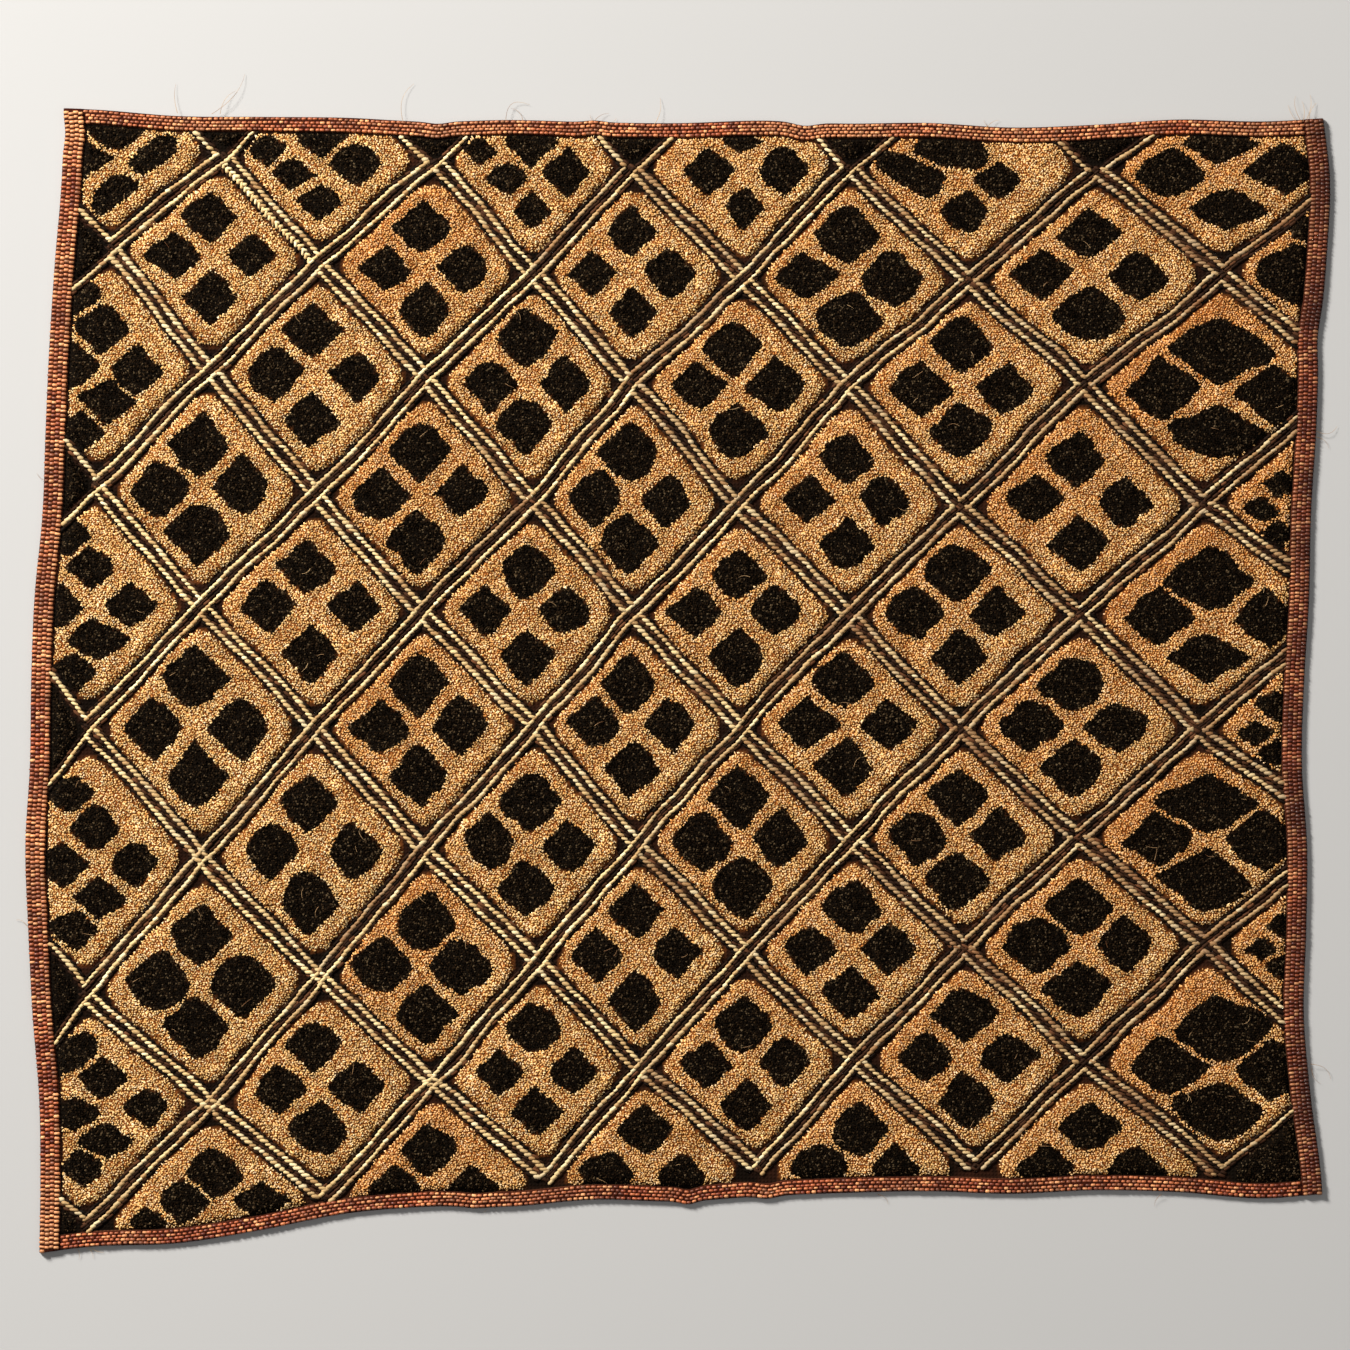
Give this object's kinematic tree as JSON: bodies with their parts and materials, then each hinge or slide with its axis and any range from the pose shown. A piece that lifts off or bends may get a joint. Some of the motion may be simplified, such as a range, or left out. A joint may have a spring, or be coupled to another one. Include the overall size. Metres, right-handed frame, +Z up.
{
  "type": "raffia cut-pile cloth",
  "caption": "Hemmed raffia panel with a diamond lattice of stitched cords and blocks of cut pile, laid flat as a mat, table cloth or wall cloth.",
  "frame": {"origin": "middle of the cloth's flat underside, at the centre of its bounding box", "axes": "+X runs along the cloth's longer side, to the right of the face; +Y to the far edge, the picture's top; +Z up out of the pile"},
  "size_m": [0.626, 0.549, 0.0034],
  "materials": {
    "raffia": "matt raffia, tan and black cut pile with cream cords and red-brown hems"
  },
  "bodies": {
    "root": {"raffia_cloth": "raffia"}
  },
  "joints": []
}
